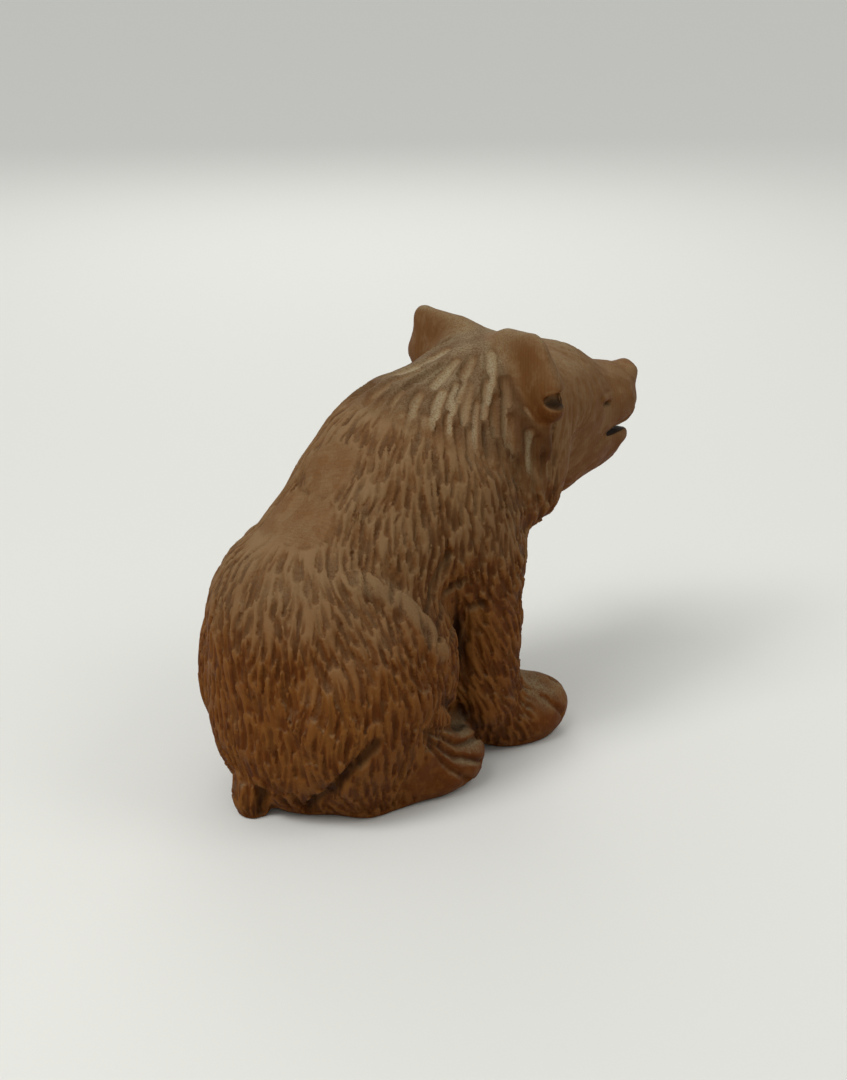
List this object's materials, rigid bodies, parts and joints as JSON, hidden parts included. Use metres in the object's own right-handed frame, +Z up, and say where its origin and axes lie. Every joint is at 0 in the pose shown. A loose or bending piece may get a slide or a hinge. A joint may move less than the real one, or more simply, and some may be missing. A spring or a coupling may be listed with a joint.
{
  "type": "chainsaw carved bear",
  "caption": "Sitting bear cub carved from a single log, forelegs straight, head turned a little to its right, standing on its sawn underside.",
  "frame": {"origin": "on the sawn underside, below the middle of the bear's bounding box", "axes": "+X to the bear's left, -Y ahead where its chest and paws face, +Z up"},
  "size_m": [0.228, 0.4712, 0.4045],
  "materials": {
    "carved_wood": "brown stained softwood with every gouge cut left showing, dusty grey on top, darker and redder low down and in the cuts"
  },
  "bodies": {
    "root": {"bear": "carved_wood"}
  },
  "joints": []
}
